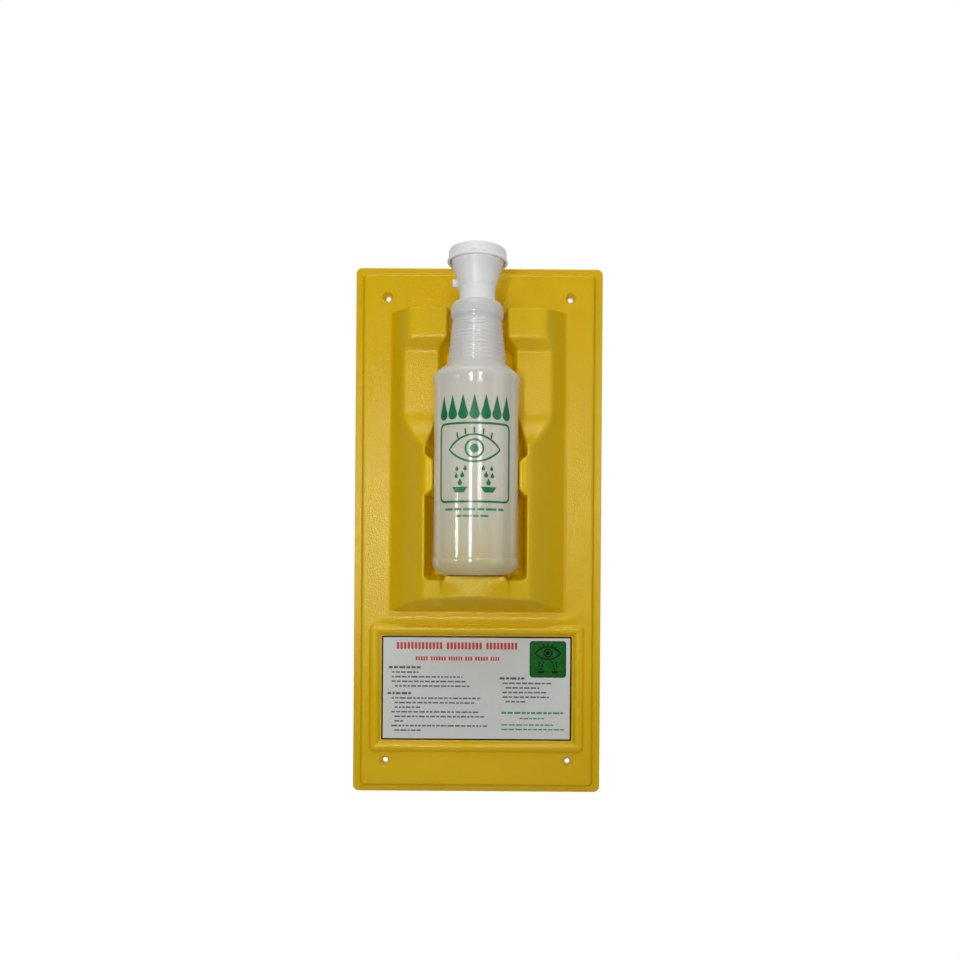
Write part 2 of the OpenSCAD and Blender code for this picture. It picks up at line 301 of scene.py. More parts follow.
def panel_material():
    m, nt, bs, tc = base_mat("panel_yellow")
    v = tc.outputs["Object"]
    big = noise(nt, v, 7.0, 3.0, 0.55)
    mid = noise(nt, v, 60.0, 3.0, 0.5)
    mixn = nt.nodes.new("ShaderNodeMath")
    mixn.operation = "MULTIPLY_ADD"
    mixn.inputs[1].default_value = 0.25
    nt.links.new(mid.outputs["Fac"], mixn.inputs[0])
    sc = nt.nodes.new("ShaderNodeMath")
    sc.operation = "MULTIPLY"
    sc.inputs[1].default_value = 0.75
    nt.links.new(big.outputs["Fac"], sc.inputs[0])
    nt.links.new(sc.outputs[0], mixn.inputs[2])
    col = ramp(nt, mixn.outputs[0], [(0.25, lin((217, 182, 0))), (0.5, lin((221, 187, 0))), (0.78, lin((225, 192, 2)))])
    # painted light: a lighter, more orange base colour on the pocket walls beside the bottle stands in for light
    # bounced into the pocket, where the walls would otherwise fall in shade; the walls there also get more subsurface,
    # as the deep-drawn sheet is thinner
    sx = nt.nodes.new("ShaderNodeSeparateXYZ")
    nt.links.new(v, sx.inputs[0])
    ab = nt.nodes.new("ShaderNodeMath")
    ab.operation = "ABSOLUTE"
    nt.links.new(sx.outputs["X"], ab.inputs[0])
    def calc(op, a, b=None):
        q = nt.nodes.new("ShaderNodeMath")
        q.operation = op
        for k, w in enumerate((a, b)):
            if w is None:
                continue
            if isinstance(w, (int, float)):
                q.inputs[k].default_value = w
            else:
                nt.links.new(w, q.inputs[k])
        return q.outputs[0]

    zz = sx.outputs["Z"]
    # half width of the pocket at this height
    w1 = mapr(nt, zz, 0.080, 0.112, 0.0482, 0.0382)
    w2 = mapr(nt, zz, 0.173, 0.184, 0.0, 0.0088)
    hwid = calc("SUBTRACT", w1.outputs[0], w2.outputs[0])
    dist = calc("SUBTRACT", ab.outputs[0], hwid)
    m1 = mapr(nt, dist, -0.0022, 0.0004, 1.0, 0.0)
    m2 = mapr(nt, zz, -0.0500, -0.0470, 0.0, 1.0)
    m3 = mapr(nt, sx.outputs["Y"], -0.058, -0.048, 0.0, 1.0)
    m4 = mapr(nt, zz, 0.205, 0.216, 1.0, 0.0)
    painted_light_mask = calc("MULTIPLY", calc("MULTIPLY", m1.outputs[0], m2.outputs[0]), calc("MULTIPLY", m3.outputs[0], m4.outputs[0]))
    # painted light: inside the mask the base colour is mixed towards a lighter amber to lift the pocket's shade
    painted_light_mix = nt.nodes.new("ShaderNodeMixRGB")
    painted_light_mix.inputs[2].default_value = (1.0, 0.69, 0.0, 1.0)
    nt.links.new(painted_light_mask, painted_light_mix.inputs[0])
    nt.links.new(col.outputs[0], painted_light_mix.inputs[1])
    nt.links.new(painted_light_mix.outputs[0], bs.inputs["Base Color"])
    sw = mapr(nt, painted_light_mask, 0.0, 1.0, 0.45, 0.95)
    nt.links.new(sw.outputs[0], bs.inputs["Subsurface Weight"])
    # hair-cell grain: small raised cells over a softer ripple
    cell = nt.nodes.new("ShaderNodeTexVoronoi")
    cell.feature = "SMOOTH_F1"
    cell.inputs["Scale"].default_value = 880.0
    cell.inputs["Smoothness"].default_value = 0.6
    cell.inputs["Randomness"].default_value = 1.0
    nt.links.new(v, cell.inputs["Vector"])
    fine = noise(nt, v, 1500.0, 2.0, 0.6)
    soft = noise(nt, v, 300.0, 3.0, 0.6)
    b1 = bump(nt, soft.outputs["Fac"], 0.09, 0.0003)
    b2 = bump(nt, cell.outputs["Distance"], 0.65, 0.00034, b1.outputs[0])
    b3 = bump(nt, fine.outputs["Fac"], 0.50, 0.0001, b2.outputs[0])
    nt.links.new(b3.outputs[0], bs.inputs["Normal"])
    rg = mapr(nt, fine.outputs["Fac"], 0.3, 0.7, 0.21, 0.27)
    nt.links.new(rg.outputs[0], bs.inputs["Roughness"])
    bs.inputs["IOR"].default_value = 1.5
    bs.inputs["Specular IOR Level"].default_value = 0.75
    bs.inputs["Specular Tint"].default_value = (1.0, 0.95, 0.50, 1.0)
    bs.inputs["Subsurface Radius"].default_value = (1.0, 0.82, 0.02)
    bs.inputs["Subsurface Scale"].default_value = 0.006
    return m


def bottle_material():
    m, nt, bs, tc = base_mat("natural_polyethylene")
    v = tc.outputs["Object"]
    a = noise(nt, v, 22.0, 3.0, 0.5)
    sepz = nt.nodes.new("ShaderNodeSeparateXYZ")
    nt.links.new(v, sepz.inputs[0])
    # painted light and shade: the colour runs from a darker amber at the heel, in the pocket's shade, through a yellow
    # tint low on the body that stands in for yellow light from the panel behind, to near white at the top
    hz = mapr(nt, sepz.outputs["Z"], -0.044, 0.214, 0.0, 1.0)
    wob = mapr(nt, a.outputs["Fac"], 0.0, 1.0, -0.06, 0.06)
    ad = nt.nodes.new("ShaderNodeMath")
    nt.links.new(hz.outputs[0], ad.inputs[0])
    nt.links.new(wob.outputs[0], ad.inputs[1])
    col = ramp(nt, ad.outputs[0], [(0.0, (0.76, 0.62, 0.32, 1)), (0.10, (0.90, 0.80, 0.51, 1)), (0.38, (0.97, 0.98, 0.74, 1)), (0.66, (1.0, 0.96, 0.78, 1)),
                                   (0.80, (0.985, 0.975, 0.92, 1)), (1.0, (0.99, 0.985, 0.95, 1))])
    nt.links.new(col.outputs[0], bs.inputs["Base Color"])
    f = noise(nt, v, 420.0, 2.0, 0.5)
    w = noise(nt, v, 45.0, 2.0, 0.5)
    b1 = bump(nt, w.outputs["Fac"], 0.10, 0.0006)
    b2 = bump(nt, f.outputs["Fac"], 0.10, 0.0001, b1.outputs[0])
    nt.links.new(b2.outputs[0], bs.inputs["Normal"])
    rg = mapr(nt, f.outputs["Fac"], 0.3, 0.7, 0.10, 0.14)
    nt.links.new(rg.outputs[0], bs.inputs["Roughness"])
    bs.inputs["IOR"].default_value = 1.5
    bs.inputs["Subsurface Weight"].default_value = 0.6
    bs.inputs["Subsurface Radius"].default_value = (1.0, 0.97, 0.85)
    bs.inputs["Subsurface Scale"].default_value = 0.006
    bs.inputs["Transmission Weight"].default_value = 0.16
    bs.inputs["Specular IOR Level"].default_value = 0.6
    bs.inputs["Sheen Weight"].default_value = 0.35
    bs.inputs["Sheen Roughness"].default_value = 0.35
    return m


def white_material(name, col_a, col_b, rough=(0.30, 0.38), grain=0.12, scale=500.0):
    m, nt, bs, tc = base_mat(name)
    v = tc.outputs["Object"]
    a = noise(nt, v, 30.0, 3.0, 0.5)
    col = ramp(nt, a.outputs["Fac"], [(0.3, col_a), (0.7, col_b)])
    nt.links.new(col.outputs[0], bs.inputs["Base Color"])
    f = noise(nt, v, scale, 2.0, 0.5)
    w = noise(nt, v, 60.0, 2.0, 0.5)
    b1 = bump(nt, w.outputs["Fac"], 0.06, 0.0004)
    b2 = bump(nt, f.outputs["Fac"], grain, 0.00008, b1.outputs[0])
    nt.links.new(b2.outputs[0], bs.inputs["Normal"])
    rg = mapr(nt, f.outputs["Fac"], 0.3, 0.7, rough[0], rough[1])
    nt.links.new(rg.outputs[0], bs.inputs["Roughness"])
    bs.inputs["IOR"].default_value = 1.48
    bs.inputs["Subsurface Weight"].default_value = 0.25
    bs.inputs["Subsurface Radius"].default_value = (1.0, 1.0, 0.95)
    bs.inputs["Subsurface Scale"].default_value = 0.0015
    return m


def ink_material(name, rgb, rough=(0.34, 0.42), var=0.12):
    m, nt, bs, tc = base_mat(name)
    v = tc.outputs["Object"]
    a = noise(nt, v, 160.0, 4.0, 0.6)
    c = lin(rgb)
    lo = tuple(x * (1 - var) for x in c[:3]) + (1,)
    hi = tuple(min(1, x * (1 + var)) for x in c[:3]) + (1,)
    col = ramp(nt, a.outputs["Fac"], [(0.3, lo), (0.7, hi)])
    nt.links.new(col.outputs[0], bs.inputs["Base Color"])
    rg = mapr(nt, a.outputs["Fac"], 0.3, 0.7, rough[0], rough[1])
    nt.links.new(rg.outputs[0], bs.inputs["Roughness"])
    return m


M_PANEL = panel_material()
M_BOTTLE = bottle_material()
M_CLOSURE = white_material("closure_white", lin((234, 238, 240)), lin((240, 244, 246)))
M_CAP = white_material("cap_white", lin((240, 244, 246)), lin((246, 249, 251)), (0.30, 0.4))
M_SPOUT = white_material("spout_white", lin((246, 248, 251)), lin((250, 251, 253)), (0.22, 0.3))
M_TUBE = white_material("tube_translucent", lin((214, 218, 218)), lin((222, 226, 226)), (0.25, 0.32))
M_FOAM = white_material("liner_foam", lin((226, 226, 220)), lin((234, 234, 230)), (0.7, 0.85), 0.5, 900.0)
M_LABEL = ink_material("label_white", (216, 220, 219), (0.16, 0.24), 0.015)
M_BLACK = ink_material("label_black", (22, 21, 20), (0.18, 0.26), 0.2)
M_RED = ink_material("label_red", (206, 52, 62), (0.2, 0.3), 0.08)
M_GREY = ink_material("label_grey", (98, 101, 102), (0.2, 0.3), 0.15)
M_GREEN_T = ink_material("label_green_text", (70, 150, 100), (0.2, 0.3), 0.08)
M_GREEN_L = ink_material("label_green", (0, 104, 26), (0.2, 0.3), 0.05)
M_GREEN = ink_material("bottle_print_green", (0, 120, 72), (0.26, 0.34), 0.04)
M_GREEN_S = ink_material("bottle_print_pale", (72, 140, 112), (0.28, 0.36), 0.06)

# --------------------------------------------------------------------------
# formed panel: the front surface as a height above the wall, h(x, z)
# --------------------------------------------------------------------------

W_STEP = wall_curve(6.0, 21.8, 2.2, 1.0)
W_POCKET = wall_curve(43.0, 5.0, 2.6, 5.0, 12)
W_DIMPLE = wall_curve(6.0, 18.0, 1.0, 1.0)
W_SEAT = wall_curve(1.0, 30.0, 0.3, 0.3)

POCKET = [
    (-1, -45.0, 0), (28.0, -45.0, 1.8), (30.6, -48.9, 1.6), (48.6, -49.2, 4.5), (48.6, 30.6, 3.0), (41.2, 36.8, 4.0),
    (41.2, 63.4, 4.0), (48.6, 69.6, 3.0), (48.6, 76.0, 6.0), (46.6, 86.0, 10.0), (42.4, 97.5, 14.0), (38.6, 112.5, 12.0),
    (37.8, 120.0, 8.0), (37.8, 173.5, 4.5), (29.4, 184.5, 4.5), (29.0, 240.0, 0), (-1, 240.0, 0)]
POCKET_POLY = fillet_poly(POCKET, 6)
POCKET_POLY = np.array([p for p in POCKET_POLY])
POCKET_POLY[POCKET_POLY[:, 0] < 0, 0] = -30.0


def crown(x):
    return 52.5 - (126.0 - np.sqrt(126.0 ** 2 - np.minimum(x, 100) ** 2))


def front(x, z):
    """Height of the front surface above the wall, mm; x >= 0."""
    s_out = rrect(x, z, 124.25, 263.5, 6.0)
    s1 = rrect(x, z, 117.0, 257.3, 5.0)
    d = 3.0 + wall_at(s1, W_STEP)
    # rounded outer edge
    e = np.clip(s_out / 1.1, 0, 1)
    d = d - 1.1 * (1 - np.sqrt(np.maximum(0, 1 - (1 - e) ** 2)))
    # label frame
    s2 = rrect(x, z + 158.6, 107.0, 63.5, 5.5)
    t = np.clip(s2 / 9.6, 0, 1)
    bead = 3.1 * np.sqrt(np.maximum(0, 1 - (2 * t - 1) ** 2)) ** 1.25
    s3 = rrect(x, z + 158.6, 97.5, 54.0, 2.5)
    d = d + np.where((s2 > 0) & (s2 < 9.6), bead, 0) - wall_at(s3, W_SEAT)
    # soft swell between the cradle and the label frame
    u = np.clip((z + 96.2) / 13.6, 0, 1)
    d = d + 1.7 * np.sin(PI * u) ** 1.3 * sstep((104 - x) / 20.0) * (s2 < 0)
    # cradle
    k = 0.598 + (0.83 - 0.598) * sstep((116.0 - z) / 34.0)
    side = (86.75 - x) / k
    bot = (z + 81.6) / 0.3057
    topend = (218.0 - z) / 0.1763
    zz = np.clip(115.0 - z, 0, 44.4)
    cove = 24.0 + 44.5 - np.sqrt(44.5 ** 2 - zz ** 2) + np.maximum(0, (115.0 - z) - 44.4) * 8
    pads = 24.0 + 9.0 * np.clip((z - 173.2) / 10.6, 0, 1)
    # soften the two bends of the step between the pads
    for zc, sg in ((173.2, 1), (183.8, -1)):
        w = 2.6
        a = np.clip((w - np.abs(z - zc)) / w, 0, 1)
        pads = pads + sg * 0.849 * w * 0.25 * a * a
    top = np.where(z > 115.0, pads, cove)
    cr = crown(x)
    tab = 52.6 * np.ones_like(x)
    hw = 28.6 + 0.42 * np.clip(-45.0 - z, 0, 8.0)
    tm = sstep((hw + 2.2 - x) / 4.4) * sstep((-40.0 - z) / 2.0) * (1 - 0.9 * sstep((-49.0 - z) / 16.0))
    cr = cr + (tab - cr) * tm
    top = smin(top, cr, 5.0)
    blk = smin(side, bot, 9.0)
    blk = smin(blk, topend, 9.0)
    blk = smin(blk, top, 4.5)
    h = FACE + blk
    body = np.where(blk > -6, smax(d, h, 2.8), d)
    # hollow for the bottle
    s = poly_sd(x, z, POCKET_POLY)
    shelf = sstep((34.0 - x) / 3.0) * sstep((-36.0 - z) / 3.0)
    mult = 1.0 + 3.6 * shelf
    # the profile is laid out so that its top corner falls on the outline
    s_foot = (s * mult) + 43.0 * math.tan(math.radians(5.0))
    w = wall_at(s_foot, W_POCKET) / 43.0
    floor = FACE
    body = np.where(body > floor, floor + (body - floor) * w, body)
    # screw dimples
    r = np.hypot(x - 91.5, np.abs(z) - 232.0)
    wd = wall_at(r - 5.25 + 1.95, W_DIMPLE) / 6.0
    body = 3.0 + (body - 3.0) * np.where(r < 12, wd, 1.0)
    return body


def spaced(segs):
    out = [segs[0][0]]
    for a, b, step in segs:
        n = max(1, int(round((b - a) / step)))
        out += [a + (b - a) * (i + 1) / n for i in range(n)]
    return np.array(out)


def build_panel():
    # plan lines, denser where the surface turns
    xs = spaced([(0, 26, 2.6), (26, 41.2, 0.62), (41.2, 53, 0.6), (53, 58, 1.0), (58, 66, 2.0), (66, 76, 1.0), (76, 82.5, 1.6),
                 (82.5, 83.5, 1.0), (83.5, 89.5, 0.75), (89.5, 93.5, 2.0), (93.5, 97.0, 0.7), (97.0, 99.5, 0.5),
                 (99.5, 107.5, 0.6), (107.5, 112.8, 1.1), (112.8, 118.4, 0.5), (118.4, 122.4, 1.3), (122.4, 124.25, 0.31)])
    zs_low = spaced([(-263.5, -261.5, 0.33), (-261.5, -258.8, 0.9), (-258.8, -253.2, 0.5), (-253.2, -240, 2.2), (-240, -224, 2.0),
                     (-224, -222.5, 0.7), (-222.5, -212.0, 0.6), (-212, -208, 1.3), (-208, -109, 4.5), (-109, -105.5, 1.1),
                     (-105.5, -94.5, 0.6), (-94.5, -84, 0.8), (-84, -62, 0.8), (-62, -51, 0.9), (-51, -40, 0.55), (-40, 27, 2.9),
                     (27, 40, 0.7), (40, 60, 2.0), (60, 73, 0.7), (73, 120, 1.4), (120, 168, 3.2), (168, 189, 0.7),
                     (189, 206, 2.2), (206, 221, 0.65), (221, 224, 1.0), (224, 240, 2.0), (240, 253.2, 2.2), (253.2, 258.8, 0.5),
                     (258.8, 261.5, 0.9), (261.5, 263.5, 0.33)])
    # dimple squares must fall on lines
    def snap(a, vals):
        for v in vals:
            i = int(np.argmin(np.abs(a - v)))
            a[i] = v
        return a
    xs = snap(xs, [83.5, 99.5])
    zs = snap(zs_low, [-240, -224, 224, 240])
    xf = np.concatenate([-xs[:0:-1], xs])
    nx, nz = len(xf), len(zs)
    X, Z = np.meshgrid(xf, zs)          # rows along z
    # round the four corners of the sheet
    cx, cz, rc = 118.25, 257.5, 6.0
    u = (np.abs(X) - cx) / rc
    v = (np.abs(Z) - cz) / rc
    m = (u > 0) & (v > 0)
    un = np.where(m, u * np.sqrt(np.maximum(0, 1 - v * v / 2)), 0)
    vn = np.where(m, v * np.sqrt(np.maximum(0, 1 - u * u / 2)), 0)
    X = np.where(m, np.sign(X) * (cx + rc * un), X)
    Z = np.where(m, np.sign(Z) * (cz + rc * vn), Z)
    D = front(np.abs(X), Z)
    # back of the sheet: the front eroded by a ball of the sheet's thickness
    t = 2.9
    step = 0.75
    gx = np.arange(0, 127.51, step)
    gz = np.arange(-267, 267.01, step)
    GX, GZ = np.meshgrid(gx, gz)
    G = front(GX, GZ)
    G = np.where(rrect(GX, GZ, 124.25, 263.5, 6.0) < 0, 3.0, G)
    pad = int(t / step) + 1
    Gp = np.pad(G, ((pad, pad), (pad, pad)), mode="edge")
    # the sheet is the same on both sides of its middle
    for i in range(pad):
        Gp[:, pad - 1 - i] = Gp[:, pad + 1 + i]
    B = np.full(G.shape, 1e9)
    for i in range(-pad, pad + 1):
        for j in range(-pad, pad + 1):
            q = (i * i + j * j) * step * step
            if q <= t * t:
                B = np.minimum(B, Gp[pad + i:pad + i + G.shape[0], pad + j:pad + j + G.shape[1]] - math.sqrt(t * t - q))

    def back(x, z):
        fx = np.clip(x / step, 0, len(gx) - 1.001)
        fz = np.clip((z + 267) / step, 0, len(gz) - 1.001)
        i, j = fz.astype(int), fx.astype(int)
        a, b = fz - i, fx - j
        val = (B[i, j] * (1 - a) * (1 - b) + B[i + 1, j] * a * (1 - b) + B[i, j + 1] * (1 - a) * b + B[i + 1, j + 1] * a * b)
        return np.clip(val, 0.0, None)

    K = back(np.abs(X), Z)
    near = (np.abs(X) > 116.4) | (np.abs(Z) > 256.6)
    K = np.where(near, 0.0, K)
    K = np.where(K < 0.35, 0.0, K)
    verts = []
    front_id = np.arange(nx * nz).reshape(nz, nx)
    for j in range(nz):
        for i in range(nx):
            verts.append((X[j, i], -D[j, i], Z[j, i]))
    back_id = front_id + nx * nz
    for j in range(nz):
        for i in range(nx):
            verts.append((X[j, i], -K[j, i], Z[j, i]))
    hole = np.zeros((nz - 1, nx - 1), bool)
    sites = []
    for sx in (-1, 1):
        for sz in (-1, 1):
            xa, xb = sorted((sx * 83.5, sx * 99.5))
            za, zb = sorted((sz * 224.0, sz * 240.0))
            i0, i1 = (int(np.argmin(np.abs(xf - q))) for q in (xa, xb))
            j0, j1 = (int(np.argmin(np.abs(zs - q))) for q in (za, zb))
            hole[j0:j1, i0:i1] = True
            sites.append((sx * 91.5, sz * 232.0, i0, i1, j0, j1))
    faces = []
    for j in range(nz - 1):
        for i in range(nx - 1):
            if hole[j, i]:
                continue
            a, b, c, d = front_id[j, i], front_id[j, i + 1], front_id[j + 1, i + 1], front_id[j + 1, i]
            faces.append((a, b, c, d))
            a, b, c, d = back_id[j, i], back_id[j, i + 1], back_id[j + 1, i + 1], back_id[j + 1, i]
            faces.append((a, d, c, b))
    # rim
    ring = [(0, i) for i in range(nx)] + [(j, nx - 1) for j in range(1, nz)] + \
           [(nz - 1, i) for i in range(nx - 2, -1, -1)] + [(j, 0) for j in range(nz - 2, 0, -1)]
    for k in range(len(ring)):
        p, q = ring[k], ring[(k + 1) % len(ring)]
        faces.append((front_id[p], back_id[p], back_id[q], front_id[q]))
    # dimples with a real through hole
    rings = [7.6, 7.0, 6.5, 6.1, 5.75, 5.4, 5.1, 4.8, 4.45, 4.1, 3.8, 3.5, 3.2, 2.9, 2.62, 2.5]
    for (px, pz, i0, i1, j0, j1) in sites:
        loop = [(j0, i) for i in range(i0, i1)] + [(j, i1) for j in range(j0, j1)] + \
               [(j1, i) for i in range(i1, i0, -1)] + [(j, i0) for j in range(j1, j0, -1)]
        ang = [math.atan2(Z[q] - pz, X[q] - px) for q in loop]
        prev_f = [front_id[q] for q in loop]
        prev_b = [back_id[q] for q in loop]
        n = len(loop)
        for ri, r in enumerate(rings):
            cf, cb = [], []
            for a in ang:
                x, z = px + r * math.cos(a), pz + r * math.sin(a)
                ax = np.array([abs(x)])
                az = np.array([z])
                df = float(front(ax, az)[0])
                if r == 2.5:
                    df -= 0.25
                db = float(back(ax, az)[0])
                db = 0.0 if db < 0.35 else db
                cf.append(len(verts))
                verts.append((x, -df, z))
                cb.append(len(verts))
                verts.append((x, -db, z))
            for k in range(n):
                q = (k + 1) % n
                faces.append((prev_f[k], prev_f[q], cf[q], cf[k]))
                faces.append((prev_b[k], cb[k], cb[q], prev_b[q]))
            prev_f, prev_b = cf, cb
        for k in range(n):
            q = (k + 1) % n
            faces.append((prev_f[k], prev_f[q], prev_b[q], prev_b[k]))
    ob = make_mesh("formed_panel", verts, faces, M_PANEL)
    bm = bmesh.new()
    bm.from_mesh(ob.data)
    used = [v for v in bm.verts if not v.link_faces]
    bmesh.ops.delete(bm, geom=used, context="VERTS")
    bmesh.ops.recalc_face_normals(bm, faces=bm.faces)
    bm.to_mesh(ob.data)
    bm.free()
    ob.data.polygons.foreach_set("use_smooth", [True] * len(ob.data.polygons))
    ob.data.update()
    return ob


panel = build_panel()
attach(panel, "panel")
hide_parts("wall_panel")

# --------------------------------------------------------------------------
# bottle
# --------------------------------------------------------------------------


def neck_r(z):
    return 27.75 - (z - 154.0) * 0.0985


def bottle_profile(o):
    """Outside (o = 0) or inside (o = wall) profile, bottom to top, as (r, z)."""
    base = -44.0
    pts = [(0.001, base + 2.6 + o), (20, base + 2.3 + o), (24.5, base + 1.7 + o), (27.2, base + 0.35 + o), (28.6, base + o)]
    # heel
    cr = 12.2
    cx, cz = 40.7 - cr, base + cr
    for i in range(1, 15):
        a = -PI / 2 + (PI / 2) * i / 14
        pts.append((cx + (cr - o) * math.cos(a), cz + (cr - o) * math.sin(a)))
    pts += [(40.72 - o, -30.2), (40.68 - o, -29.4), (40.45 - o, -28.8), (39.95 - o, -28.4), (39.72 - o, -27.9), (39.7 - o, -27.0)]
    z = -25.5
    while z < 129:
        pts.append((39.7 - o, z))
        z += 6.5
    pts += [(39.7 - o, 130.5), (39.9 - o, 133.0), (40.35 - o, 135.8), (40.7 - o, 138.2), (40.78 - o, 140.0), (40.65 - o, 141.6), (40.25 - o, 143.0),
            (39.55 - o * 0.95, 144.2 - o * 0.4), (38.4 - o * 0.8, 145.35 - o * 0.6)]
    # straight shoulder, then a tight turn up into the neck
    for i in range(1, 7):
        t = i / 6
        pts.append((38.4 + (29.6 - 38.4) * t - o * 0.7, 145.35 + (152.2 - 145.35) * t - o * 0.75))
    pts += [(28.75 - o * 0.8, 152.9 - o * 0.6), (28.15 - o * 0.9, 153.7 - o * 0.4), (27.8 - o, 154.6 - o * 0.2)]
    # ribs
    pitch = 3.53
    zr = 155.3
    nr = 11
    for i in range(nr * 8 + 1):
        z = zr + pitch * i / 8
        ph = (z - zr) / pitch * 2 * PI
        amp = 0.40 * (0.35 if o > 0 else 1.0)
        pts.append((neck_r(z) - o - amp * (0.5 + 0.5 * math.cos(ph)), z))
    pts += [(23.45 - o, 194.9), (23.4 - o, 195.9), (23.75 - o, 197.0), (24.55 - o, 198.3), (24.95 - o, 199.4), (25.1 - o, 200.6), (25.0 - o, 201.6),
            (25.13 - o, 202.9), (25.0 - o, 204.2), (24.95 - o, 205.2), (24.65 - o, 206.4 - o * 0.2)]
    # dome
    x0, z0, x1, z1 = 24.65, 206.4, 16.9, 213.05
    for i in range(1, 13):
        a = i / 12 * PI / 2
        r = x1 + (x0 - x1) * math.cos(a) ** 0.86 if i < 12 else x1
        zz = z0 + (z1 - z0) * math.sin(a) ** 1.02
        pts.append((r - o * (1 - 0.6 * i / 12), zz - o * (0.2 + 0.8 * i / 12)))
    pts += [(15.6 - o * 0.4, 213.15 - o), (14.6, 213.2 - o)]
    return pts


outer = bottle_profile(0.0)
inner = bottle_profile(1.2)
# neck finish with thread ridges, hidden in the closure
fin = [(13.3, 213.4), (12.95, 214.2)]
for c in (216.0, 220.2, 224.4):
    if c < 224:
        fin += [(12.95, c - 0.9), (13.6, c - 0.35), (13.6, c + 0.35), (12.95, c + 0.9)]
fin += [(12.9, 225.9), (12.6, 226.3), (11.3, 226.3), (10.95, 226.0), (10.9, 213.0), (11.5, 212.1)]
inner_top = [(r, z) for (r, z) in inner[:-1]]
prof = outer[:-1] + fin + inner_top[::-1]
bottle = revolve("squeeze_bottle", prof, M_BOTTLE, n=144, sharp=None)
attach(bottle, "bottle")
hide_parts(*[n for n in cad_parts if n.startswith("bottle")])

# --------------------------------------------------------------------------
# printed artwork: thin flat pieces, laid flat on the label or wrapped on the bottle
# --------------------------------------------------------------------------


def tri_fill(outer_loop, holes=()):
    """Triangulated 2-D region from closed loops of (u, v)."""
    bm = bmesh.new()
    loops = [outer_loop, *holes]
    edges = []
    for lp in loops:
        vs = [bm.verts.new((p[0], p[1], 0)) for p in lp]
        for i in range(len(vs)):
            edges.append(bm.edges.new((vs[i], vs[(i + 1) % len(vs)])))
    bmesh.ops.triangle_fill(bm, use_beauty=True, use_dissolve=False, edges=edges)
    bm.verts.ensure_lookup_table()
    for i, vv in enumerate(bm.verts):
        vv.index = i
    pts = [(vv.co.x, vv.co.y) for vv in bm.verts]
    fs = [tuple(vv.index for vv in f.verts) for f in bm.faces]
    bm.free()
    return pts, fs


def densify(loop, step):
    out = []
    n = len(loop)
    for i in range(n):
        a, b = loop[i], loop[(i + 1) % n]
        L = math.hypot(b[0] - a[0], b[1] - a[1])
        k = max(1, int(math.ceil(L / step)))
        out += [(a[0] + (b[0] - a[0]) * j / k, a[1] + (b[1] - a[1]) * j / k) for j in range(k)]
    return out


def rr_loop(cx, cz, w, h, r, n=6):
    pts = [(cx - w / 2, cz - h / 2, r), (cx + w / 2, cz - h / 2, r), (cx + w / 2, cz + h / 2, r), (cx - w / 2, cz + h / 2, r)]
    return [tuple(p) for p in fillet_poly(pts, n)]


def disc_loop(cx, cz, r, n=32):
    return [(cx + r * math.cos(2 * PI * i / n), cz + r * math.sin(2 * PI * i / n)) for i in range(n)]


def stroke_loop(path, w, closed=False):
    """Outline(s) of a stroked path. Returns (outer, holes)."""
    n = len(path)
    left, right = [], []
    for i in range(n):
        if closed:
            a, b = path[i - 1], path[(i + 1) % n]
        else:
            a, b = path[max(0, i - 1)], path[min(n - 1, i + 1)]
        tx, tz = b[0] - a[0], b[1] - a[1]
        L = math.hypot(tx, tz) or 1
        nx_, nz_ = -tz / L, tx / L
        left.append((path[i][0] + nx_ * w / 2, path[i][1] + nz_ * w / 2))
        right.append((path[i][0] - nx_ * w / 2, path[i][1] - nz_ * w / 2))
    if closed:
        area = sum(path[i][0] * path[(i + 1) % n][1] - path[(i + 1) % n][0] * path[i][1] for i in range(n))
        return (right, [left]) if area > 0 else (left, [right])
    caps = lambda p, q: []
    return left + right[::-1], []


def drop_loop(cx, cz, w, h, n=20):
    """Water drop, point up, centre of its box at (cx, cz)."""
    r = w / 2
    zc = cz - h / 2 + r
    tip = cz + h / 2
    d = tip - zc
    a = math.acos(min(1, r / d))
    out = []
    for i in range(n + 1):
        t = PI / 2 - a - (2 * PI - 2 * a) * i / n
        out.append((cx + r * math.cos(t), zc + r * math.sin(t)))
    # slightly hollow flanks up to the point
    p0, p1 = out[-1], out[0]
    for k in (0.33, 0.66):
        out.append((p0[0] + (cx - p0[0]) * k + 0.03 * w * (1 - k), p0[1] + (tip - p0[1]) * k))
    out.append((cx, tip))
    for k in (0.66, 0.33):
        out.append((p1[0] + (cx - p1[0]) * k - 0.03 * w * (1 - k), p1[1] + (tip - p1[1]) * k))
    return out


